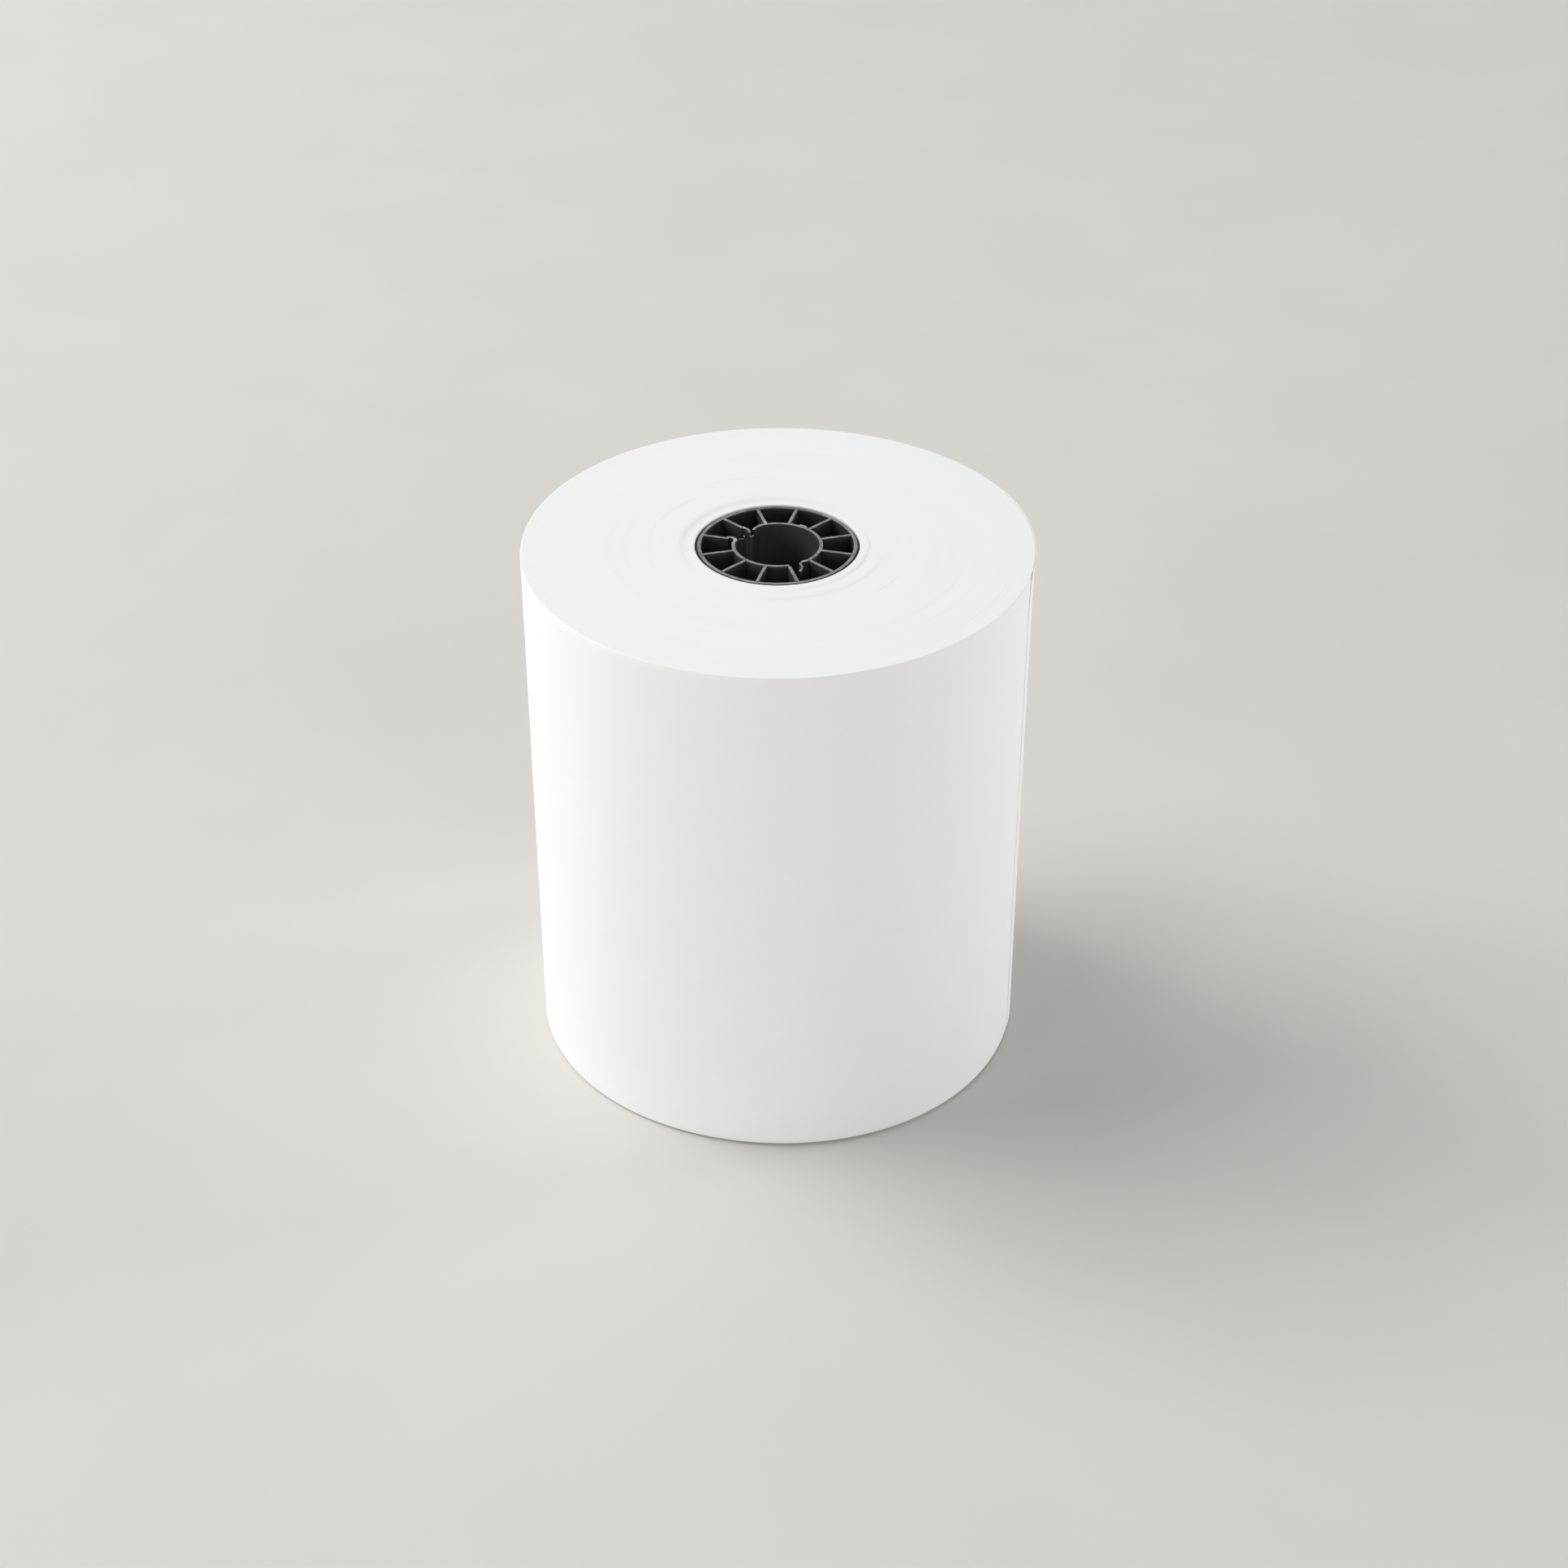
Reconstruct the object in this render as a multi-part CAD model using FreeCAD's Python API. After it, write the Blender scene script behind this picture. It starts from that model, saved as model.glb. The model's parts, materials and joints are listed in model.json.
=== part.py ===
"""Till paper roll: a plain paper strip wound on a ribbed plastic core, stood on its end.

Frame: +Z is the axis of the roll, and the origin is on the axis at the base.
Angles are in degrees, counter-clockwise from +X as seen from above. Lengths are in mm.
"""
import FreeCAD, Part
import math
import os

from FreeCAD import Vector

# ---- the paper strip ----
roll_width = 76.2           # width of the strip, which is the height of the roll on its end
roll_d = 69.3               # diameter over the free end of the strip
paper_t = 0.067             # thickness of the strip
tail_length = 23.6          # stretch of the strip that peels off the roll
tail_free_deg = -14.0       # where the free edge lies
tail_gap = 0.10             # air under the free tail
tail_hinge_gap = 0.06       # break between the tail and the wound strip at the peel line

# ---- the core ----
core_d = 22.2               # outside diameter of the outer tube
core_wall = 0.85            # wall of the outer tube
core_recess = 0.05          # each end of the core lies this far inside the paper's end
core_chamfer = 0.32         # broken outside corner at each end
bore_d = 11.1               # bore of the hub, which takes the spindle
hub_wall = 0.65             # wall of the hub
rib_count = 12
rib_t = 0.50
rib_first_deg = 15.0

# ---- the hub where the winding mandrel's keys bit into it, at both ends ----
key_depth = 12.0            # how far in from each end the damage runs
flap_t = 0.50               # thickness of the bent pieces of wall
open_from_deg = 127.0       # the open break: start and end of the missing wall
open_to_deg = 171.0
open_rib_deg = 165.0        # the rib that the wall beyond the open break is pushed against
open_flap_rise = 1.05       # how far that wall is pushed out from its own circle
pushed_from_deg = -52.0     # the pushed break: where the wall leaves its circle
pushed_rib_deg = -75.0      # the rib that the pushed wall leans on
pushed_reach = 2.30         # how far out along that rib it reaches

# ---- adhesive ----
start_glue_t = 0.05         # line between the core and the first turn; it fills that clearance
start_glue_width = 8.0      # measured round the core
start_glue_margin = 6.0     # kept clear of each end of the core
start_glue_deg = 200.0
tack_t = 0.04               # spots under the free tail, thinner than the air there
tack_d = 5.0
tack_count = 3
tack_setback = 6.0          # from the free edge to the middle of the spots

# ---- derived ----
roll_r = roll_d / 2
core_r = core_d / 2
bore_r = bore_d / 2
hub_r = bore_r + hub_wall
web_inner_r = core_r + start_glue_t
core_low = core_recess
core_high = roll_width - core_recess
core_length = core_high - core_low
lap_drop = paper_t + tail_gap
tail_deg = math.degrees(tail_length / roll_r)
peel_deg = tail_free_deg + tail_deg
overlap = 0.2               # how far joined shapes run into each other before they are fused


def polar(radius, degrees, z=0.0):
    """Point at a radius and an angle round the axis."""
    angle = math.radians(degrees)
    return Vector(radius * math.cos(angle), radius * math.sin(angle), z)


def tube(outer_r, inner_r, z_low, height):
    """Plain round tube on the axis."""
    base = Vector(0, 0, z_low)
    return Part.makeCylinder(outer_r, height, base).cut(Part.makeCylinder(inner_r, height, base))


def arc(centre, radius, from_deg, to_deg):
    """Circular arc between two angles about its own centre."""
    middle = (from_deg + to_deg) / 2
    points = [centre + polar(radius, angle) for angle in (from_deg, middle, to_deg)]
    return Part.Arc(*points).toShape()


def line(start, end):
    """Straight edge."""
    return Part.LineSegment(start, end).toShape()


def prism(edges, z_low, height):
    """Solid standing on a closed outline."""
    face = Part.Face(Part.Wire(edges))
    face.translate(Vector(0, 0, z_low))
    return face.extrude(Vector(0, 0, height))


def curved_sheet(centre, inner_r, outer_r, from_deg, to_deg, z_low, height):
    """Part of a round tube between two angles."""
    outer = arc(centre, outer_r, from_deg, to_deg)
    inner = arc(centre, inner_r, from_deg, to_deg)
    sides = [line(centre + polar(inner_r, angle), centre + polar(outer_r, angle)) for angle in (from_deg, to_deg)]
    return prism(Part.__sortEdges__([outer, inner] + sides), z_low, height)


def flat_wall(start, end, thickness, z_low, height):
    """Straight wall between two points, with round ends."""
    run = end - start
    side = Vector(-run.y, run.x, 0).normalize() * (thickness / 2)
    corners = [start + side, end + side, end - side, start - side, start + side]
    body = Part.Face(Part.makePolygon(corners)).extrude(Vector(0, 0, height))
    ends = [Part.makeCylinder(thickness / 2, height, point) for point in (start, end)]
    return body.fuse(ends).translated(Vector(0, 0, z_low))


# ---- the spiral of the last turn, drawn as four quarter arcs about the corners of a small square ----
quarter_drop = lap_drop / 4


def spiral_centre(quarter):
    """Centre of one quarter arc; quarter 0 starts at the peel line, and -1 is the tail itself."""
    steps = [polar(quarter_drop, peel_deg + 90 * k) for k in range(1, 4)]
    centre = (steps[0] + steps[1]) * -0.5
    if quarter < 0:
        return centre - polar(quarter_drop, peel_deg)
    for step in steps[:quarter]:
        centre = centre + step
    return centre


def spiral_radius(quarter):
    """Radius of one quarter arc."""
    return roll_r - quarter_drop * (quarter + 1)


def make_core():
    """Outer tube, hub and ribs as one extrusion, with its broken hub at both ends."""
    core = chamfered_tube().fuse(tube(hub_r, bore_r, core_low, core_length))
    core = core.fuse([rib(rib_first_deg + 360.0 / rib_count * k) for k in range(rib_count)])
    for z_low in (core_low, core_high - key_depth):
        core = break_hub(core, z_low)
    return core.removeSplitter()


def chamfered_tube():
    """The core's outer tube, with its outside corners broken at both ends."""
    inner_r = core_r - core_wall
    edge_r = core_r - core_chamfer
    outline = [(inner_r, core_low), (edge_r, core_low), (core_r, core_low + core_chamfer),
               (core_r, core_high - core_chamfer), (edge_r, core_high), (inner_r, core_high)]
    points = [Vector(r, 0, z) for r, z in outline]
    face = Part.Face(Part.makePolygon(points + points[:1]))
    return face.revolve(Vector(0, 0, 0), Vector(0, 0, 1), 360)


def rib(degrees):
    """One straight rib from the hub to the outer tube."""
    start_r = hub_r - overlap
    length = core_r - core_wall + overlap - start_r
    blade = Part.makeBox(length, rib_t, core_length, Vector(start_r, -rib_t / 2, core_low))
    blade.rotate(Vector(0, 0, 0), Vector(0, 0, 1), degrees)
    return blade


def break_hub(core, z_low):
    """Open the hub in two places over one end's key depth, and add the bent pieces of its wall."""
    wall_r = (bore_r + hub_r) / 2
    gaps = [(open_from_deg, open_to_deg), (pushed_rib_deg + 2.0, pushed_from_deg)]
    for from_deg, to_deg in gaps:
        core = core.cut(curved_sheet(Vector(), bore_r - overlap, hub_r, from_deg, to_deg, z_low, key_depth))
    open_rib_r = wall_r + open_flap_rise
    flap_ends = [(polar(wall_r, open_to_deg), polar(open_rib_r, open_rib_deg)),
                 (polar(wall_r, pushed_from_deg), polar(hub_r + pushed_reach, pushed_rib_deg))]
    flaps = [flat_wall(start, end, flap_t, z_low, key_depth) for start, end in flap_ends]
    return core.fuse(flaps)


def make_start_glue():
    """Line of adhesive between the core and the first turn."""
    half_deg = math.degrees(start_glue_width / 2 / core_r)
    z_low = core_low + start_glue_margin
    height = core_length - 2 * start_glue_margin
    return curved_sheet(Vector(), core_r, web_inner_r, start_glue_deg - half_deg, start_glue_deg + half_deg,
                        z_low, height)


def make_wound_web():
    """All the turns that stay on the roll; the last one ends in the step that the tail leaves from."""
    edges = []
    for quarter in range(4):
        from_deg = peel_deg + 90 * quarter
        edges.append(arc(spiral_centre(quarter), spiral_radius(quarter), from_deg, from_deg + 90))
    edges.append(line(edges[-1].Vertexes[-1].Point, edges[0].Vertexes[0].Point))
    web = prism(edges, 0, roll_width)
    return web.cut(Part.makeCylinder(web_inner_r, roll_width))


def make_web_tail():
    """The free end of the strip, lying over the last turn."""
    outer_r = spiral_radius(-1)
    end_deg = peel_deg - math.degrees(tail_hinge_gap / roll_r)
    return curved_sheet(spiral_centre(-1), outer_r - paper_t, outer_r, tail_free_deg, end_deg, 0, roll_width)


def make_tail_tack():
    """Round spots of light adhesive on the last turn, under the free tail."""
    seat_r = spiral_radius(3)
    centre = spiral_centre(3)
    spot_deg = tail_free_deg + math.degrees(tack_setback / roll_r)
    layer = curved_sheet(centre, seat_r, seat_r + tack_t, tail_free_deg, peel_deg - 1.0, 0, roll_width)
    spots = []
    for k in range(tack_count):
        z = roll_width * (k + 0.5) / tack_count
        foot = polar(seat_r - 1.0, spot_deg, z)
        spots.append(layer.common(Part.makeCylinder(tack_d / 2, 2.0, foot, polar(1, spot_deg))))
    return Part.makeCompound(spots)


parts = {
    "core": make_core(),
    "start_glue": make_start_glue(),
    "wound_web": make_wound_web(),
    "web_tail": make_web_tail(),
    "tail_tack": make_tail_tack(),
}

os.makedirs("parts", exist_ok=True)
for name, shape in parts.items():
    shape.exportStep("parts/" + name + ".step")
    box = shape.BoundBox
    print(name, len(shape.Solids), "solids", round(shape.Volume, 2), "mm3, valid", shape.isValid(),
          [round(v, 3) for v in (box.XMin, box.YMin, box.ZMin, box.XMax, box.YMax, box.ZMax)])
print("peel line at", round(peel_deg, 3), "degrees:", polar(spiral_radius(-1), peel_deg) + spiral_centre(-1))
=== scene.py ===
"""Till paper roll: the looks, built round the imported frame. Lengths are in metres."""
import json
import math

import bpy
import numpy as np
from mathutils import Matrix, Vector


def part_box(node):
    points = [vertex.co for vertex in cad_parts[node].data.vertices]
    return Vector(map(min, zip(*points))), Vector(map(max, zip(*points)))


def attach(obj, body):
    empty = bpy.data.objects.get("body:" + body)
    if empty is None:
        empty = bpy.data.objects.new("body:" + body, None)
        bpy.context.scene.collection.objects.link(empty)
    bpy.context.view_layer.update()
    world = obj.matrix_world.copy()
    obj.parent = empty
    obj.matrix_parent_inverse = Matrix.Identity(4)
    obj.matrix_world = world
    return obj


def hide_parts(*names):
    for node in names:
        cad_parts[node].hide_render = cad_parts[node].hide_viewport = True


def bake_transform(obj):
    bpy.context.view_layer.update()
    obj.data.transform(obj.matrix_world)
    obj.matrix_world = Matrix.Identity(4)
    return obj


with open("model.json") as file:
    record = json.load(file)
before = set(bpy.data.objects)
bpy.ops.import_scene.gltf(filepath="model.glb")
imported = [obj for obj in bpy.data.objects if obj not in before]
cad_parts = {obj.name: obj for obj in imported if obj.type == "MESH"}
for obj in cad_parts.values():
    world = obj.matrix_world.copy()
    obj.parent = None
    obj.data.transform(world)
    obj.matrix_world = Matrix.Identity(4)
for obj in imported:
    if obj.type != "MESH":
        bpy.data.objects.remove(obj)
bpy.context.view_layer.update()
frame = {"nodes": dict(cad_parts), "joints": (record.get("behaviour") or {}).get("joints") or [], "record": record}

MM = 0.001

# ---- sizes read from the frame ----
core_low, core_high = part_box("core")
web_low, web_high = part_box("wound_web")
tail_low, tail_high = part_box("web_tail")
mounts = {mount["name"]: mount for mount in frame["record"]["mounts"]}
peel = frame["joints"][0]
CORE_R = core_high.x
CORE_Z = (core_low.z, core_high.z)
WEB_Z = (web_low.z, web_high.z)
BORE_R = mounts["core_bore"]["dims"]["r_mm"] * MM
PEEL_AT = Vector(peel["pos_m"])
PEEL_DEG = math.degrees(math.atan2(PEEL_AT.y, PEEL_AT.x))
ROLL_R = PEEL_AT.to_2d().length

# ---- the strip of paper ----
PAPER_T = 0.067 * MM
TAIL_GAP = 0.10 * MM             # air under the free tail
LAP_DROP = PAPER_T + TAIL_GAP    # what the spiral falls in one turn
TAIL_DEG = math.degrees(23.6 * MM / (ROLL_R + LAP_DROP / 8))
WEB_INNER_R = CORE_R + 0.05 * MM
WEB_COLUMNS = 240                # steps round the roll
TACK_COUNT = 3                   # spots of glue that held the free tail down
TACK_R = 2.5 * MM
TACK_SETBACK = 6 * MM            # from the free edge to the middle of the spots
TACK_T = 0.025 * MM
TACK_PROUD = 0.011 * MM          # how far the dried spots stand out of the paper

# ---- the core ----
TUBE_WALL = 0.85 * MM
TUBE_DROP = 0.10 * MM            # how far the outer tube's sawn ends lie below the hub's
RIM_CHAMFER = 0.32 * MM
HUB_WALL = 0.65 * MM
RIB_T = 0.50 * MM
RIB_COUNT = 12
RIB_FIRST_DEG = 15.0
KEY_DEPTH = 12 * MM              # how far in from each end the hub is broken
KEY_OVERLAP = 0.3 * MM           # how far the broken walls reach into the whole part of the hub
EDGE_BREAK = 0.12 * MM           # how far the sawn edges of ribs and hub are rounded over
RIB_DROP = 0.03 * MM             # how far the ribs' ends lie below the hub's
HUB_DROP = 0.01 * MM             # how far the hub's ends lie inside the core's full length
SAW_REACH = 1.2 * MM             # how far from the cut ends the saw left a wall wavy
SAW_WAVE = 0.05 * MM


# ---------------------------------------------------------------- modelling
def deselect():
    """Nothing selected and nothing active."""
    for thing in bpy.context.selected_objects:
        thing.select_set(False)
    bpy.context.view_layer.objects.active = None


def take(thing):
    """Make one object the only one selected."""
    deselect()
    thing.select_set(True)
    bpy.context.view_layer.objects.active = thing
    return thing


def edit(thing):
    """Open an object in edit mode."""
    take(thing)
    bpy.ops.object.mode_set(mode="EDIT")
    bpy.ops.mesh.select_mode(type="VERT")


def close():
    """Leave edit mode."""
    bpy.ops.object.mode_set(mode="OBJECT")


def pick(thing, test, kind="VERT"):
    """In edit mode, select the points, edges or faces whose middle passes a test, and nothing else."""
    bpy.ops.mesh.select_mode(type=kind)
    bpy.ops.mesh.select_all(action="DESELECT")
    bpy.ops.object.mode_set(mode="OBJECT")
    mesh = thing.data
    points = [v.co for v in mesh.vertices]
    if kind == "VERT":
        for v in mesh.vertices:
            v.select = bool(test(v.co))
    else:
        for part in (mesh.edges if kind == "EDGE" else mesh.polygons):
            middle = sum((points[i] for i in part.vertices), Vector()) / len(part.vertices)
            part.select = bool(test(middle))
    bpy.ops.object.mode_set(mode="EDIT")


def settle(thing):
    """Put an object's place, turn and size into its mesh."""
    take(thing)
    bpy.ops.object.transform_apply(location=True, rotation=True, scale=True)
    return thing


def modify(thing, kind, **settings):
    """Add one modifier and apply it."""
    take(thing)
    modifier = thing.modifiers.new(kind.title(), kind)
    for name, value in settings.items():
        setattr(modifier, name, value)
    bpy.ops.object.modifier_apply(modifier=modifier.name)
    return thing


def tidy(thing, merge=0.0005 * MM):
    """Merge doubled points and turn every face outwards."""
    edit(thing)
    bpy.ops.mesh.select_all(action="SELECT")
    bpy.ops.mesh.remove_doubles(threshold=merge)
    bpy.ops.mesh.normals_make_consistent(inside=False)
    close()
    return thing


def smooth(thing, degrees=35):
    """Smooth shading, with edges kept where the surface turns sharply."""
    take(thing)
    bpy.ops.object.shade_smooth_by_angle(angle=math.radians(degrees))
    return thing


def join(name, things):
    """Make several objects one."""
    take(things[0])
    for thing in things:
        thing.select_set(True)
    bpy.ops.object.join()
    things[0].name = name
    things[0].data.name = name
    return things[0]


def section(name, low_r, high_r, low_z, high_z):
    """A flat rectangle in the XZ plane, from one radius to another and one height to another."""
    deselect()
    bpy.ops.mesh.primitive_plane_add(size=1, location=((low_r + high_r) / 2, 0, (low_z + high_z) / 2),
                                     rotation=(math.pi / 2, 0, 0))
    thing = bpy.context.object
    thing.name = name
    thing.scale = (high_r - low_r, high_z - low_z, 1)
    return settle(thing)


def bevel_corners(thing, test, width, segments=1):
    """Break the chosen corners of a flat section."""
    edit(thing)
    pick(thing, test)
    bpy.ops.mesh.bevel(offset=width, segments=segments, affect="VERTICES")
    close()


def turn(thing, steps):
    """Spin a flat section's outline all the way round the axis."""
    edit(thing)
    bpy.ops.mesh.select_all(action="SELECT")
    bpy.ops.mesh.delete(type="ONLY_FACE")
    bpy.ops.mesh.select_all(action="SELECT")
    bpy.ops.mesh.spin(steps=steps, angle=math.tau, center=(0, 0, 0), axis=(0, 0, 1))
    close()
    return tidy(thing)


def polar(radius, degrees, z=0.0):
    """Point at a radius and an angle round the axis."""
    angle = math.radians(degrees)
    return Vector((radius * math.cos(angle), radius * math.sin(angle), z))


def arc_points(radius, from_deg, to_deg, count):
    """Points along an arc about the axis."""
    return [polar(radius, from_deg + (to_deg - from_deg) * k / (count - 1)) for k in range(count)]


def wall_along(name, plan, thickness, low_z, high_z):
    """A standing wall along a line in plan: a point is extruded along it, then raised and thickened."""
    deselect()
    bpy.ops.mesh.primitive_plane_add(size=1, location=(0, 0, 0))
    thing = bpy.context.object
    thing.name = name
    edit(thing)
    bpy.ops.mesh.select_all(action="SELECT")
    bpy.ops.mesh.merge(type="CENTER")
    bpy.ops.transform.translate(value=plan[0] + Vector((0, 0, low_z)))
    for here, there in zip(plan, plan[1:]):
        bpy.ops.mesh.extrude_region_move(TRANSFORM_OT_translate={"value": there - here})
    bpy.ops.mesh.select_all(action="SELECT")
    bpy.ops.mesh.extrude_region_move(TRANSFORM_OT_translate={"value": (0, 0, high_z - low_z)})
    bpy.ops.mesh.select_all(action="SELECT")
    bpy.ops.mesh.normals_make_consistent(inside=False)
    close()
    settle(thing)
    modify(thing, "SOLIDIFY", thickness=thickness, offset=0, use_even_offset=True)
    return tidy(thing)


# ---------------------------------------------------------------- the core
def make_outer_tube():
    """The core's outer tube, with its outside corners broken and its inside corners eased."""
    low_z, high_z = CORE_Z
    wall = section("core_tube", CORE_R - TUBE_WALL, CORE_R, low_z + TUBE_DROP, high_z - TUBE_DROP)
    bevel_corners(wall, lambda p: p.x > CORE_R - TUBE_WALL / 2, RIM_CHAMFER)
    bevel_corners(wall, lambda p: p.x < CORE_R - TUBE_WALL + 0.01 * MM, 0.08 * MM)
    return turn(wall, 144)


def make_rib(degrees, start_r, seed):
    """One straight rib, thin and a little wavy where the saw dragged its cut ends."""
    low_z, high_z = CORE_Z
    end_r = CORE_R - TUBE_WALL * 0.9
    deselect()
    bpy.ops.mesh.primitive_cube_add(size=1, location=((start_r + end_r) / 2, 0, (low_z + high_z) / 2))
    rib = bpy.context.object
    rib.name = "core_rib"
    rib.scale = (end_r - start_r, RIB_T, high_z - low_z - 2 * RIB_DROP)
    settle(rib)
    edit(rib)
    middle_z = (low_z + high_z) / 2
    pick(rib, lambda p: abs(p.y) > RIB_T / 4 and abs(p.z - middle_z) > RIB_T, "EDGE")
    bpy.ops.mesh.bevel(offset=EDGE_BREAK, segments=2, affect="EDGES")
    for k in range(1, 14):
        bpy.ops.mesh.select_all(action="SELECT")
        cut_x = start_r + (end_r - start_r) * k / 14
        bpy.ops.mesh.bisect(plane_co=(cut_x, 0, 0), plane_no=(1, 0, 0))
    for end_z in (low_z + SAW_REACH, high_z - SAW_REACH):
        bpy.ops.mesh.select_all(action="SELECT")
        bpy.ops.mesh.bisect(plane_co=(0, 0, end_z), plane_no=(0, 0, 1))
    close()
    ragged(rib, SAW_WAVE, 0.9 * MM, seed)
    rib.rotation_euler.z = math.radians(degrees)
    return settle(rib)


def ragged(thing, amount, size, seed):
    """Push a wall's faces in and out a little near its cut ends; size is the length of the waves."""
    texture = bpy.data.textures.new("saw_drag", "CLOUDS")
    texture.noise_scale = size
    group = thing.vertex_groups.new(name="cut_ends")
    low_z, high_z = CORE_Z
    ends = [v.index for v in thing.data.vertices if min(v.co.z - low_z, high_z - v.co.z) < 1.0 * MM]
    group.add(ends, 1.0, "REPLACE")
    deselect()
    bpy.ops.object.empty_add(location=(seed * 7 * MM, seed * 3 * MM, 0))
    shift = bpy.context.object
    modify(thing, "DISPLACE", texture=texture, texture_coords="OBJECT", texture_coords_object=shift,
           direction="Y", vertex_group="cut_ends", strength=amount * 2, mid_level=0.5)
    bpy.data.objects.remove(shift)
    thing.vertex_groups.clear()


def points_at(*places):
    """Points given as a radius in millimetres and an angle."""
    return [polar(radius * MM, degrees) for radius, degrees in places]


def hub_walls(low_z, high_z):
    """The hub at a broken end: the walls that are left, and the bits that the winding keys bent."""
    middle_r = BORE_R + HUB_WALL / 2 + 0.05 * MM
    long_wall = points_at((5.74, -54)) + arc_points(middle_r, -48, 110, 34)
    long_wall += points_at((5.80, 115), (5.68, 119))
    short_wall = points_at((6.32, 162.4), (5.98, 164.2), (5.76, 168.5))
    short_wall += arc_points(middle_r, 175, 286, 24)
    bowed_end = points_at((5.76, 117), (5.66, 121), (5.50, 124.5), (5.30, 128.0))
    leaning_end = points_at((5.70, -52.5), (5.80, -56.5), (6.02, -59.6), (6.45, -60.4),
                            (6.94, -61.2), (7.40, -64.2), (7.84, -67.6))
    curl = points_at((7.00, 134.8), (6.40, 133.4), (6.00, 132.9), (5.62, 133.6), (5.30, 135.6),
                     (5.00, 138.6))
    torn_lip = points_at((7.10, 164.0), (6.78, 162.2), (6.45, 161.6), (6.20, 162.6))
    burr = points_at((6.10, 60.5), (6.20, 57.5), (6.22, 53.5), (6.12, 49.5))
    # name, line in plan, then thickness and drop below the cut end in mm
    walls = [("hub_long_wall", long_wall, 0.50, 0.0),
             ("hub_short_wall", short_wall, 0.52, 0.0),
             ("hub_bowed_end", bowed_end, 0.38, 0.04),
             ("hub_leaning_end", leaning_end, 0.34, 0.05),
             ("hub_curl", curl, 0.42, 0.02),
             ("hub_torn_lip", torn_lip, 0.46, 0.0),
             ("hub_burr", burr, 0.30, -0.05),
             ("torn_web", points_at((5.00, 138.6), (4.62, 140.2), (4.22, 141.5)), 0.16, 0.45),
             ("torn_web_tip", points_at((4.30, 141.2), (4.16, 141.6)), 0.34, 0.10),
             ("torn_flake", points_at((5.85, 157.5), (5.50, 154.5), (5.10, 150.8)), 0.16, 0.50),
             ("torn_flake_tip", points_at((5.22, 151.6), (5.06, 150.2)), 0.34, 0.12),
             ("torn_flake_root", points_at((6.30, 162.4), (5.85, 157.5)), 0.18, 0.60)]
    at_top = high_z > sum(CORE_Z) / 2
    parts = []
    for name, plan, thickness, drop in walls:
        above = high_z - drop * MM if at_top else high_z
        below = low_z if at_top else low_z + drop * MM
        part = wall_along(name, plan, thickness * MM, below, above)
        rounding = min(EDGE_BREAK, thickness * MM / 4)
        modify(part, "BEVEL", width=rounding, segments=2, limit_method="ANGLE",
               angle_limit=math.radians(50), harden_normals=False)
        parts.append(part)
    return parts


def make_core():
    """The whole core as one piece: outer tube, ribs and hub."""
    low_z, high_z = CORE_Z
    tube = make_outer_tube()
    ribs = []
    for k in range(RIB_COUNT):
        degrees = RIB_FIRST_DEG + 360 / RIB_COUNT * k
        start_r = {135: 6.7, 165: 6.8, 285: 6.3}.get(round(degrees), 5.95) * MM
        ribs.append(make_rib(degrees, start_r, k + 1))
    hub = section("hub_tube", BORE_R, BORE_R + HUB_WALL, low_z + KEY_DEPTH, high_z - KEY_DEPTH)
    hub = turn(hub, 96)
    reach = KEY_DEPTH + KEY_OVERLAP
    ends = hub_walls(low_z + HUB_DROP, low_z + reach)
    ends += hub_walls(high_z - reach, high_z - HUB_DROP)
    core = join("core_extrusion", [tube, hub] + ribs + ends)
    return smooth(core, 40)


# ---------------------------------------------------------------- the paper
def smooth_step(low, high, value):
    """0 below one value, 1 above another, and smooth between."""
    share = np.clip((value - low) / (high - low), 0, 1)
    return share * share * (3 - 2 * share)


def bell(value, middle, width):
    """1 at the middle, falling off smoothly to both sides."""
    return np.exp(-((value - middle) / width) ** 2)


def turned_towards(degrees, middle, spread):
    """How much a place round the roll belongs to a mark that fades out to both sides."""
    away = (degrees - middle + 180) % 360 - 180
    return bell(away, 0, spread)


# Marks in a wound end, where turns stand a little proud or low; their darkening is painted shade along those
# turns, and a negative darkening is a painted highlight. Each has its radius, half width and height in mm, its
# darkening, and the middle and half length of its arc in degrees.
WINDING_MARKS = [
    (11.45, 0.26, 0.020, -0.050, 225, 200),
    (12.80, 0.70, -0.030, 0.105, 128, 64),
    (12.75, 0.14, -0.040, 0.060, 152, 24),
    (12.95, 0.12, -0.030, 0.045, 178, 34),
    (12.40, 0.18, -0.040, 0.130, 346, 27),
    (12.50, 0.40, -0.020, 0.085, 308, 36),
    (14.65, 0.40, -0.025, 0.060, 305, 40),
    (14.60, 0.12, -0.030, 0.055, 334, 15),
    (17.30, 0.24, -0.020, 0.065, 142, 11),
    (17.40, 0.10, -0.020, 0.040, 176, 24),
    (18.25, 0.12, -0.025, 0.090, 323, 7),
    (19.60, 0.40, 0.000, 0.024, 108, 13),
    (20.60, 0.30, 0.000, 0.022, 176, 24),
    (22.75, 0.12, -0.010, 0.032, 184, 26),
    (25.55, 0.28, -0.010, 0.032, 322, 24),
    (28.20, 0.14, -0.010, 0.018, 318, 22),
    (32.05, 0.12, -0.030, 0.045, 327, 15),
    (32.60, 0.12, -0.030, 0.045, 324, 17),
]


def spiral_r(degrees):
    """Radius of the outside of the last turn, at an angle counted round from the peel line."""
    return ROLL_R - LAP_DROP * degrees / 360


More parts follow.
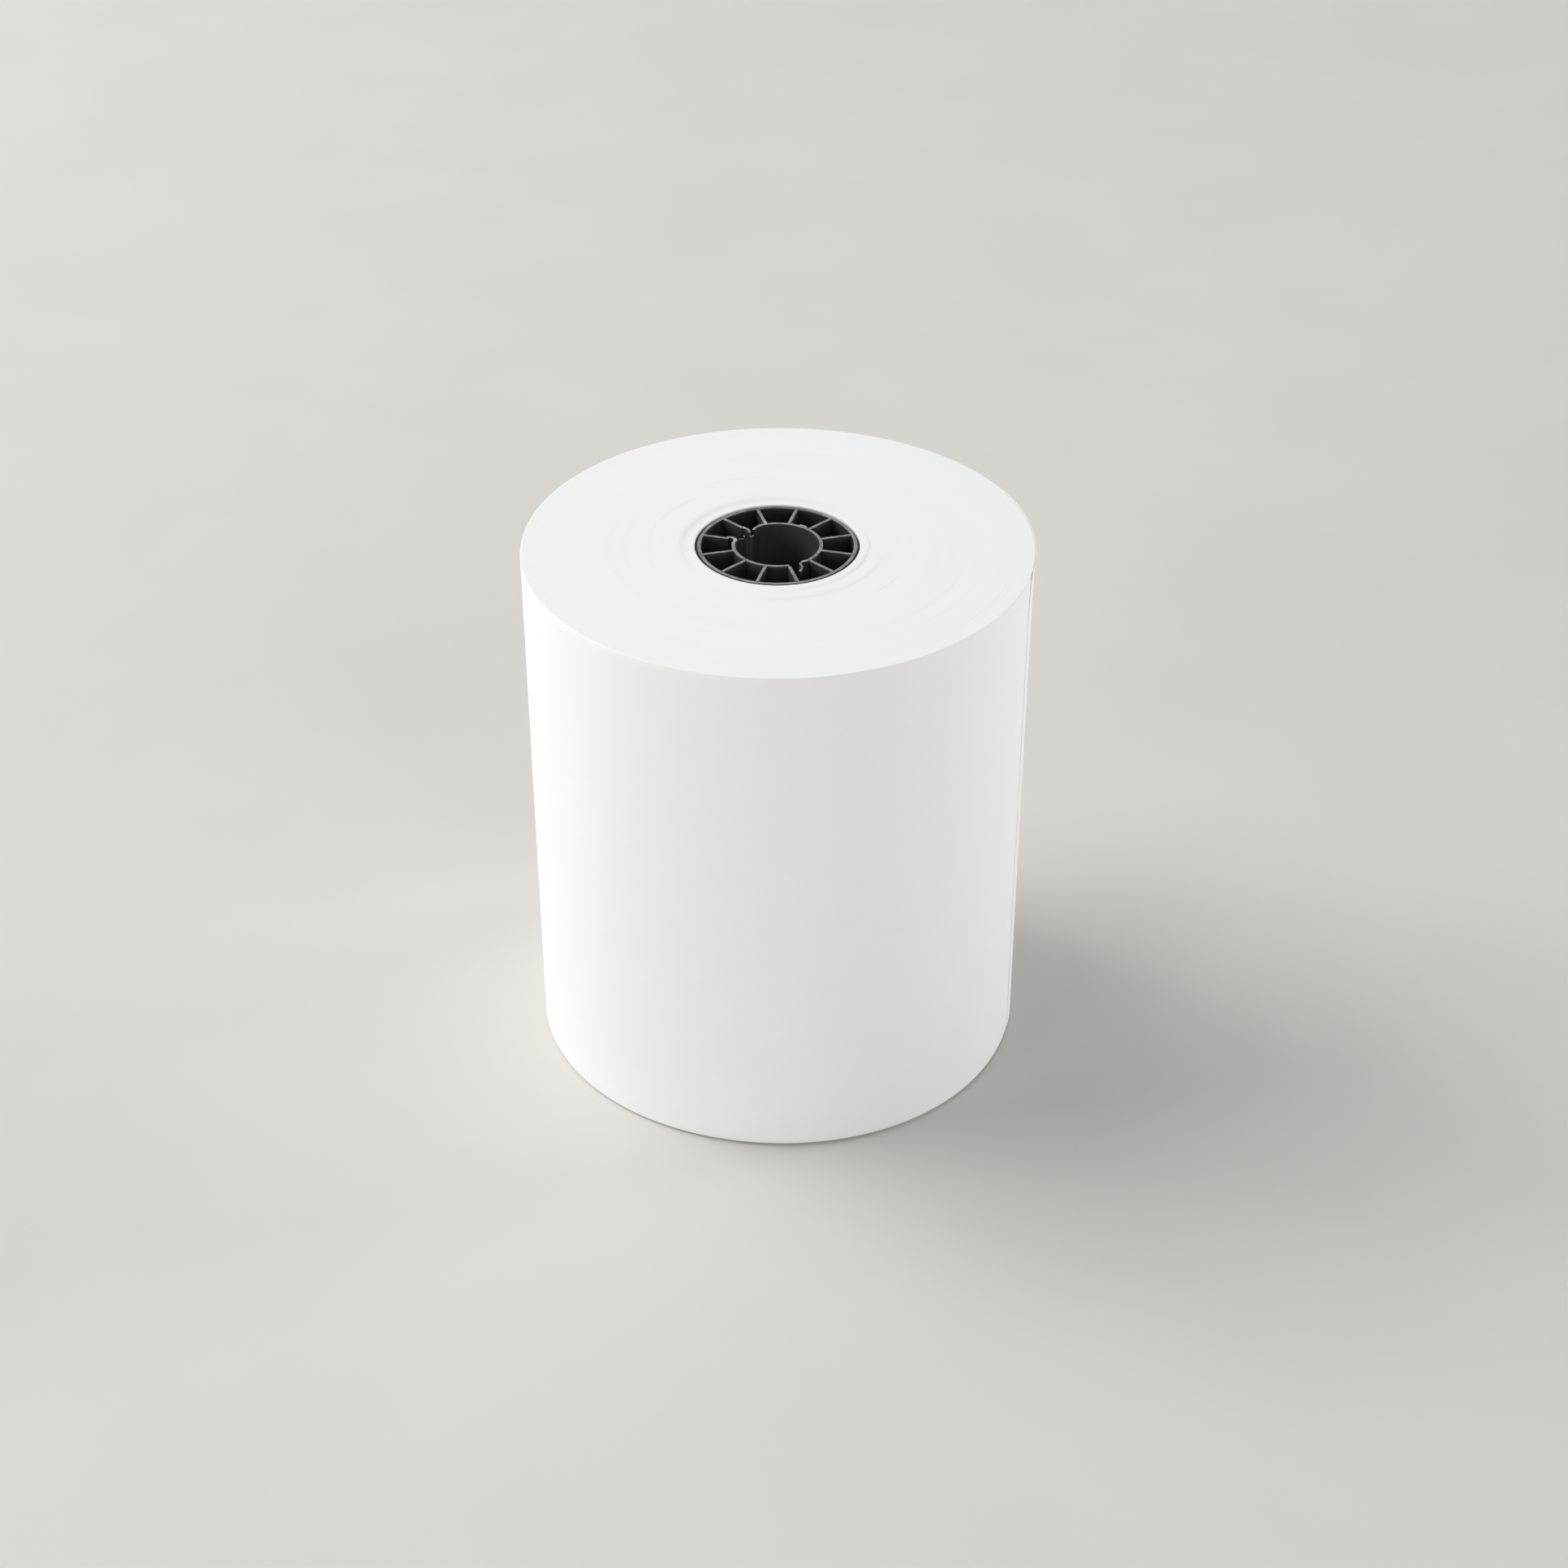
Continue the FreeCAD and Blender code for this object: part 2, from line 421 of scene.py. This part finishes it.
def end_height(radius, degrees):
    """How far the edges of the turns stand proud of, or below, a flat end."""
    height = np.zeros_like(radius)
    for mark_r, width, rise, _, middle, spread in WINDING_MARKS:
        along = turned_towards(degrees, middle, spread)
        height += rise * MM * bell(radius, mark_r * MM, width * MM) * along
    turns = radius / MM
    fine = np.sin(turns * 7.1) + 0.7 * np.sin(turns * 13.7 + 1.1) + 0.5 * np.sin(turns * 3.3 + 0.4)
    fade = 0.6 + 0.4 * np.sin(np.radians(degrees + turns * 25))
    last = smooth_step(ROLL_R - 0.5 * MM, ROLL_R - 0.3 * MM, radius)
    last *= turned_towards(degrees, -50, 45) + turned_towards(degrees, 48, 22)
    nicks = np.sin(np.radians(degrees * 31)) * np.sin(np.radians(degrees * 47 + 60))
    return height + 0.002 * MM * fine * fade + 0.035 * MM * last * nicks


def lean(radius, degrees, z):
    """How far the last turns lean out: round the peel line at the top, before the free edge at the foot."""
    near_outside = smooth_step(ROLL_R - 1.6 * MM, ROLL_R, radius)
    from_top = np.maximum(WEB_Z[1] - z, 0)
    from_foot = np.maximum(z - WEB_Z[0], 0)
    curl = 0.22 * MM * np.exp(-from_top / (1.8 * MM))
    slope = 0.20 * MM * np.exp(-from_top / (12 * MM))
    foot = 0.74 * MM * np.exp(-from_foot / (8 * MM))
    at_top = (curl + slope) * turned_towards(degrees, 24, 42)
    at_foot = foot * turned_towards(degrees, -62, 35)
    return near_outside * (at_top + at_foot)


def lay_turns(web):
    """Give the plain lathe-turned web its spiral outside and the slightly uneven edges of its turns."""
    mesh = web.data
    place = np.zeros(len(mesh.vertices) * 3)
    mesh.vertices.foreach_get("co", place)
    place = place.reshape(-1, 3)
    radius = np.hypot(place[:, 0], place[:, 1])
    degrees = np.degrees(np.arctan2(place[:, 1], place[:, 0]))
    round_from_peel = (degrees - PEEL_DEG + 0.01) % 360
    outer = smooth_step(ROLL_R - 2.5 * MM, ROLL_R, radius)
    new_radius = radius + outer * (spiral_r(round_from_peel) - ROLL_R)
    under_step = outer * (round_from_peel > 360 - 360 / WEB_COLUMNS * 1.5)
    degrees = degrees + under_step * (360 / WEB_COLUMNS - 0.12)
    top = place[:, 2] > WEB_Z[1] - 0.08 * MM
    bottom = place[:, 2] < WEB_Z[0] + 0.08 * MM
    edge = smooth_step(WEB_INNER_R, WEB_INNER_R + 0.4 * MM, radius)
    edge *= 1 - smooth_step(ROLL_R - 0.1 * MM, ROLL_R, radius)
    rise = end_height(radius, degrees) * edge - 0.06 * MM
    place[:, 2] += np.where(top, np.minimum(rise, 0), 0)
    lift = 0.04 * MM + 0.42 * MM * turned_towards(degrees, -76, 54)
    crushed = lift * smooth_step(ROLL_R - 1.2 * MM, ROLL_R, radius)
    foot_rise = end_height(radius, degrees + 77) * edge - 0.03 * MM
    place[:, 2] -= np.where(bottom, np.minimum(foot_rise, 0) * 0.5, 0)
    place[:, 2] += np.where(bottom, crushed, 0)
    new_radius += lean(radius, degrees, place[:, 2])
    place[:, 0] = new_radius * np.cos(np.radians(degrees))
    place[:, 1] = new_radius * np.sin(np.radians(degrees))
    mesh.vertices.foreach_set("co", place.ravel())
    mesh.update()


def cut_rings(web, z, count):
    """Cut one end of the flat section into the rings that its turns will show."""
    inside = (WEB_INNER_R + 0.2 * MM, ROLL_R - 0.2 * MM)
    edit(web)
    pick(web, lambda p: abs(p.z - z) < 0.001 * MM and inside[0] < p.x < inside[1], "EDGE")
    bpy.ops.mesh.subdivide(number_cuts=count)
    close()


def make_wound_web():
    """All the turns that stay on the roll."""
    web = section("wound_paper", WEB_INNER_R, ROLL_R, WEB_Z[0], WEB_Z[1])
    bevel_corners(web, lambda p: True, 0.06 * MM, 2)
    cut_rings(web, WEB_Z[1], 170)
    cut_rings(web, WEB_Z[0], 50)
    edit(web)
    pick(web, lambda p: p.x > ROLL_R - 0.001 * MM, "EDGE")
    bpy.ops.mesh.subdivide(number_cuts=80)
    close()
    web.rotation_euler.z = math.radians(PEEL_DEG)
    settle(web)
    turn(web, WEB_COLUMNS)
    lay_turns(web)
    return smooth(web, 40)


def make_free_tail():
    """The free end of the strip as one curved sheet, lying on the turn below it."""
    low_z, high_z = WEB_Z
    tail = section("free_tail", ROLL_R - PAPER_T, ROLL_R, low_z + 0.12 * MM, high_z - 0.03 * MM)
    edit(tail)
    pick(tail, lambda p: abs(p.z - (low_z + high_z) / 2) < 1 * MM, "EDGE")
    bpy.ops.mesh.subdivide(number_cuts=60)
    close()
    tail.rotation_euler.z = math.radians(PEEL_DEG)
    settle(tail)
    edit(tail)
    bpy.ops.mesh.select_all(action="SELECT")
    bpy.ops.mesh.spin(steps=64, angle=math.radians(TAIL_DEG), center=(0, 0, 0), axis=(0, 0, 1))
    close()
    tidy(tail)
    lay_tail(tail)
    return smooth(tail, 40)


def lay_tail(tail):
    """Follow the spiral out to the free edge, which rests on the turn below except at its top corner."""
    mesh = tail.data
    free_deg = PEEL_DEG - TAIL_DEG
    tail_length = math.radians(TAIL_DEG) * ROLL_R
    for v in mesh.vertices:
        degrees = math.degrees(math.atan2(v.co.y, v.co.x))
        to_edge = math.radians(degrees - free_deg) * ROLL_R
        from_top = WEB_Z[1] - v.co.z
        spiral = LAP_DROP * (PEEL_DEG - degrees) / 360
        resting = 0.088 * MM * (1 - smooth_step(tail_length - 3 * MM, tail_length, to_edge))
        resting += 0.005 * MM * (1 - smooth_step(0, 3 * MM, to_edge))
        corner = math.exp(-to_edge / (1.8 * MM)) * math.exp(-from_top / (2.2 * MM))
        leaning = lean(ROLL_R, degrees, v.co.z)
        out = Vector((v.co.x, v.co.y, 0)).normalized()
        v.co += out * float(spiral - resting + leaning + 0.06 * MM * corner)


def make_tack_spots():
    """Thin round spots of dried glue on the turn that the free tail covers."""
    low_z, high_z = WEB_Z
    spot_deg = PEEL_DEG - TAIL_DEG + math.degrees(TACK_SETBACK / ROLL_R)
    spots = []
    for k in range(TACK_COUNT):
        middle_z = low_z + (high_z - low_z) * (k + 0.5) / TACK_COUNT
        deselect()
        bpy.ops.mesh.primitive_circle_add(vertices=48, radius=TACK_R, fill_type="NGON")
        spot = bpy.context.object
        spot.name = "tack_spot_%d" % (k + 1)
        edit(spot)
        bpy.ops.mesh.select_mode(type="FACE")
        bpy.ops.mesh.select_all(action="SELECT")
        for ring in range(5):
            bpy.ops.mesh.inset(thickness=TACK_R / 6)
        close()
        for v in spot.data.vertices:
            degrees = spot_deg + math.degrees(v.co.x / ROLL_R)
            z = middle_z + v.co.y
            under = spiral_r(degrees - PEEL_DEG + 360) + float(lean(ROLL_R, degrees, z))
            v.co = polar(under + TACK_PROUD - TACK_T, degrees) + Vector((0, 0, z))
        modify(spot, "SOLIDIFY", thickness=TACK_T, offset=1.0)
        spots.append(spot)
    return smooth(join("tack_spots", spots), 40)


# ---------------------------------------------------------------- shader maths
class Signal:
    """A number that changes over a surface: a socket that can be used in sums."""

    def __init__(self, tree, socket):
        self.tree = tree
        self.socket = socket

    def maths(self, operation, *others, clamp=False):
        """One Math node on this signal and others, or numbers."""
        node = self.tree.nodes.new("ShaderNodeMath")
        node.operation = operation
        node.use_clamp = clamp
        for slot, value in zip(node.inputs, (self,) + others):
            if isinstance(value, Signal):
                self.tree.links.new(value.socket, slot)
            else:
                slot.default_value = value
        return Signal(self.tree, node.outputs[0])

    def __add__(self, other):
        return self.maths("ADD", other)

    __radd__ = __add__

    def __mul__(self, other):
        return self.maths("MULTIPLY", other)

    __rmul__ = __mul__

    def __sub__(self, other):
        return self.maths("SUBTRACT", other)

    def __rsub__(self, other):
        return (self * -1) + other

    def __truediv__(self, other):
        return self.maths("DIVIDE", other)

    def __pow__(self, other):
        return self.maths("POWER", other)

    def above(self, low, high):
        """0 below one value and 1 above another."""
        node = self.tree.nodes.new("ShaderNodeMapRange")
        node.interpolation_type = "SMOOTHSTEP"
        self.tree.links.new(self.socket, node.inputs["Value"])
        node.inputs["From Min"].default_value = low
        node.inputs["From Max"].default_value = high
        return Signal(self.tree, node.outputs["Result"])


class Finish:
    """One material, built node by node."""

    def __init__(self, name, **constants):
        self.material = bpy.data.materials.new(name)
        self.material.use_nodes = True
        self.tree = self.material.node_tree
        self.shader = self.tree.nodes["Principled BSDF"]
        for socket, value in constants.items():
            self.shader.inputs[socket.replace("_", " ")].default_value = value
        self.place = self.node("TexCoord").outputs["Object"]

    def node(self, kind, settings=None, **inputs):
        """A node of one type, with its settings and then the values or links of its sockets."""
        node = self.tree.nodes.new("ShaderNode" + kind)
        for name, value in (settings or {}).items():
            setattr(node, name, value)
        for name, value in inputs.items():
            self.feed(node.inputs[name.replace("_", " ")], value)
        return node

    def feed(self, socket, value):
        """Put a number, a colour, a signal or another node's socket into a socket."""
        if isinstance(value, Signal):
            value = value.socket
        if isinstance(value, bpy.types.NodeSocket):
            self.tree.links.new(value, socket)
        else:
            socket.default_value = value

    def stretched(self, scale):
        """Object coordinates, squeezed or stretched along each axis."""
        return self.node("Mapping", Vector=self.place, Scale=scale).outputs["Vector"]

    def noise(self, scale, detail=3.0, roughness=0.5, vector=None):
        """Soft noise, 0 to 1; scale is in cycles per metre."""
        place = vector or self.place
        node = self.node("TexNoise", Vector=place, Scale=scale, Detail=detail, Roughness=roughness)
        return Signal(self.tree, node.outputs["Fac"])

    def axis(self, name):
        """Object coordinate along one axis, in metres."""
        split = self.node("SeparateXYZ", Vector=self.place)
        return Signal(self.tree, split.outputs[name])

    def facing_up(self):
        """1 where the surface faces straight up or down, 0 where it is upright."""
        split = self.node("SeparateXYZ", Vector=self.node("TexCoord").outputs["Normal"])
        return Signal(self.tree, split.outputs["Z"]).maths("ABSOLUTE")

    def mix(self, share, first, second):
        """Two colours mixed by a signal."""
        node = self.tree.nodes.new("ShaderNodeMix")
        node.data_type = "RGBA"
        self.feed(node.inputs[0], share)
        self.feed(node.inputs[6], first)
        self.feed(node.inputs[7], second)
        return node.outputs[2]

    def finish(self, colour, roughness, bump, distance):
        """Join the results to the shader."""
        self.feed(self.shader.inputs["Base Color"], colour)
        self.feed(self.shader.inputs["Roughness"], roughness)
        raised = self.node("Bump", Height=bump, Distance=distance, Strength=1.0)
        self.feed(self.shader.inputs["Normal"], raised.outputs["Normal"])
        return self.material


def grey(value, warmth=0.0):
    """A grey, a little warmer or cooler."""
    return (value * (1 + warmth), value, value * (1 - warmth), 1.0)


def bond_paper():
    """White uncoated paper: the flat face of the strip, and the ends where its turns' edges show."""
    paper = Finish("bond_paper", Specular_IOR_Level=0.25)
    on_end = paper.facing_up().above(0.6, 0.85)
    fibres = paper.noise(2600, 4, 0.6, paper.stretched((1, 1, 0.6)))
    clouds = paper.noise(160, 3, 0.5)
    rings, painted_ring_shade = turn_edges(paper)
    face = paper.mix(clouds.above(0.3, 0.7), (0.888, 0.893, 0.902, 1.0), (0.895, 0.900, 0.909, 1.0))
    end = paper.mix(rings, (0.866, 0.868, 0.871, 1.0), (0.878, 0.880, 0.883, 1.0))
    # painted shade: the winding marks darken the wound end towards grey
    end = paper.mix(painted_ring_shade, end, grey(0.20, 0.004))
    colour = paper.mix(on_end, face, end)
    bump = fibres * (1 - on_end) * 0.4 + rings * on_end * 0.5 + fibres * 0.3
    return paper.finish(colour, 0.62 + fibres * 0.2, bump, 0.012 * MM)


def turn_edges(paper):
    """On a wound end: faint rings from turn to turn, and the painted shade that the winding marks lay on them."""
    x, y = paper.axis("X"), paper.axis("Y")
    radius = (x * x + y * y) ** 0.5
    flat = paper.node("CombineXYZ", X=radius, Y=x * 0.04, Z=y * 0.04).outputs["Vector"]
    fine = paper.noise(2600, 2, 0.6, flat)
    broad = paper.noise(420, 2, 0.5, flat)
    blotted = paper.node("CombineXYZ", X=radius, Y=x * 0.4, Z=y * 0.4).outputs["Vector"]
    patchy = paper.noise(900, 3, 0.6, blotted)
    wander = (paper.noise(70, 1) - 0.5) * (0.5 * MM) + radius
    painted_mark_shade = 0
    # painted shade: each winding mark darkens the end colour along its arc
    for mark_r, width, _, tone, middle, spread in WINDING_MARKS:
        off = (wander - mark_r * MM) * (1 / (width * MM))
        across = (off * off * -1).maths("EXPONENT")
        facing = (x * math.cos(math.radians(middle)) + y * math.sin(math.radians(middle))) / radius
        along = facing.above(math.cos(math.radians(min(spread * 1.4, 180))), 1.0)
        painted_mark_shade = across * along * tone + painted_mark_shade
    return (fine * 0.5 + broad * 0.5).above(0.3, 0.7), painted_mark_shade * (0.6 + patchy * 0.8)


# Painted highlights on the core's cut ends, where they would catch the light: x, y and size in mm.
PAINTED_HIGHLIGHT_SPOTS = [(3.30, 5.30, 0.42), (3.95, 4.75, 0.26), (3.32, -4.42, 0.34), (-5.55, 1.25, 0.42),
              (-3.26, 2.66, 0.30), (-4.43, 2.47, 0.28), (-3.28, 4.20, 0.24), (3.00, -7.26, 0.24),
              (-1.60, 6.10, 0.34), (-4.60, 4.70, 0.40)]


def core_plastic():
    """Black extruded plastic: drawn lines along its walls, painted lighter deeper in, and dull grey scuffed cut
    ends with painted highlights and painted shade at the back of the rim.
    """
    plastic = Finish("core_plastic", Specular_IOR_Level=0.20)
    drawn = plastic.noise(1500, 3, 0.6, plastic.stretched((1, 1, 0.02)))
    scuff = plastic.noise(1900, 4, 0.65)
    patches = plastic.noise(420, 2, 0.5)
    z = plastic.axis("Z")
    near_end = (CORE_Z[1] - z).maths("MINIMUM", z - CORE_Z[0])
    cut = plastic.facing_up().above(0.80, 0.96) * (1 - near_end.above(0.4 * MM, 0.9 * MM))
    dull = plastic.mix((scuff * 0.6 + patches * 0.4).above(0.32, 0.62), grey(0.13), grey(0.32))
    # painted highlight: the cut ends are lightened to pale grey round each of these spots
    pale = 0
    for spot_x, spot_y, size in PAINTED_HIGHLIGHT_SPOTS:
        off_x = plastic.axis("X") - spot_x * MM
        off_y = plastic.axis("Y") - spot_y * MM
        squared = (off_x * off_x + off_y * off_y) * (-1 / (size * MM) ** 2)
        pale = squared.maths("EXPONENT") + pale
    dull = plastic.mix(pale.maths("MINIMUM", 1.0), dull, grey(0.50, 0.01))
    # painted shade: the cut ends towards the back, from 8.5 mm to 10.8 mm along Y, are darkened towards near black
    painted_back_shade = plastic.axis("Y").above(8.5 * MM, 10.8 * MM)
    dull = plastic.mix(painted_back_shade * 0.7, dull, grey(0.055))
    # painted light: the walls are lighter the deeper they lie from the cut ends, to lift the shade that falls down
    # the bore
    walls = plastic.mix(near_end.above(0.2 * MM, 6 * MM), grey(0.028), grey(0.066))
    colour = plastic.mix(cut, walls, dull)
    rough = 0.55 + drawn * 0.05 + cut * 0.15
    return plastic.finish(colour, rough, drawn * (1 - cut) * 0.05 + scuff * cut, 0.03 * MM)


def dried_glue():
    """Dried light adhesive: a faint off-white film with a slight shine."""
    glue = Finish("dried_glue", Specular_IOR_Level=0.5)
    clots = glue.noise(900, 3, 0.6)
    colour = glue.mix(clots.above(0.35, 0.7), grey(0.80, 0.02), grey(0.72, 0.05))
    return glue.finish(colour, 0.25 + clots * 0.25, clots, 0.02 * MM)


def paint(thing, material):
    """Give an object one material."""
    thing.data.materials.clear()
    thing.data.materials.append(material)
    for face in thing.data.polygons:
        face.material_index = 0


# ---------------------------------------------------------------- stage
def floor_material():
    """Plain pale grey, a little warm. Past the lamps it gives its own light, so as to stay pale."""
    ground = Finish("pale_floor", Specular_IOR_Level=0.2, Emission_Strength=1.0)
    tone = ground.noise(28, 2, 0.5)
    colour = ground.mix(tone.above(0.35, 0.65), (0.655, 0.637, 0.605, 1.0), (0.667, 0.649, 0.616, 1.0))
    out = (ground.axis("X") ** 2 + ground.axis("Y") ** 2) ** 0.5
    glow = ground.mix(out.above(1.5, 2.6), (0, 0, 0, 1), (0.54, 0.527, 0.505, 1))
    ground.feed(ground.shader.inputs["Emission Color"], glow)
    return ground.finish(colour, 0.8 + tone * 0.1, tone, 0.02 * MM)


FLOOR_SIDE = 12.0
FLOOR_FLAT_R = 4.2               # past this the floor sweeps up into a low backdrop
FLOOR_RISE = 0.5


def make_stage():
    """Floor, sky and lamps."""
    deselect()
    bpy.ops.mesh.primitive_grid_add(x_subdivisions=48, y_subdivisions=48, size=FLOOR_SIDE)
    floor = bpy.context.object
    floor.name = "studio_floor"
    for v in floor.data.vertices:
        v.co.z = FLOOR_RISE * float(smooth_step(FLOOR_FLAT_R, FLOOR_SIDE / 2, v.co.to_2d().length))
    smooth(floor, 60)
    paint(floor, floor_material())
    world = bpy.data.worlds.new("studio")
    bpy.context.scene.world = world
    world.use_nodes = True
    sky = world.node_tree.nodes["Background"]
    sky.inputs["Color"].default_value = (1.0, 1.0, 1.0, 1)
    sky.inputs["Strength"].default_value = 0.19
    lamp("key_lamp", (-1.367, 0.552, 1.072), 0.9, 9.2)
    lamp("high_left_lamp", (-0.921, 0.247, 1.566), 1.2, 11.3)
    lamp("back_left_lamp", (-0.860, 1.025, 1.244), 1.4, 7.1)
    lamp("left_lamp", (-1.589, 0.0, 0.885), 0.8, 5.3)
    lamp("low_left_lamp", (-1.245, -1.245, 0.414), 0.6, 7.0)
    lamp("front_lamp", (0.816, -1.413, 0.801), 1.2, 6.8)
    lamp("right_front_lamp", (1.583, -0.738, 0.475), 0.8, 3.1)
    lamp("right_lamp", (1.666, 0.606, 0.353), 0.5, 11.1)


def lamp(name, place, size, watts):
    """A square soft light aimed at the middle of the roll."""
    data = bpy.data.lights.new(name, "AREA")
    data.shape = "SQUARE"
    data.size = size
    data.energy = watts
    light = bpy.data.objects.new(name, data)
    bpy.context.scene.collection.objects.link(light)
    light.location = place
    aim = Vector((0, 0, WEB_Z[1] / 2)) - light.location
    light.rotation_euler = aim.to_track_quat("-Z", "Y").to_euler()


def make_camera():
    """A 66 mm lens, looking a little down on the roll from in front."""
    data = bpy.data.cameras.new("camera")
    data.lens = 66.0
    data.sensor_width = 36.0
    camera = bpy.data.objects.new("camera", data)
    bpy.context.scene.collection.objects.link(camera)
    aim = Vector((0.0009, 0, 0.0373))
    down, left, distance = math.radians(33.72), math.radians(0.15), 0.4087
    back = Vector((-math.sin(left) * math.cos(down), -math.cos(left) * math.cos(down), math.sin(down)))
    camera.location = aim + back * distance
    camera.rotation_euler = (-back).to_track_quat("-Z", "Y").to_euler()
    bpy.context.scene.camera = camera
    bpy.context.scene.view_settings.view_transform = "Standard"


# ---------------------------------------------------------------- build
paper = bond_paper()
plastic = core_plastic()
glue = dried_glue()

core = make_core()
paint(core, plastic)
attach(core, "roll")
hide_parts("core")

web = make_wound_web()
paint(web, paper)
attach(web, "roll")
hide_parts("wound_web")

tail = make_free_tail()
paint(tail, paper)
bend_end = PEEL_AT + polar(8 * MM, PEEL_DEG - 90)
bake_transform(tail)
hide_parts("web_tail")

spots = make_tack_spots()
paint(spots, glue)
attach(spots, "roll")
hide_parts("tail_tack")

paint(frame["nodes"]["start_glue"], glue)

make_stage()
make_camera()
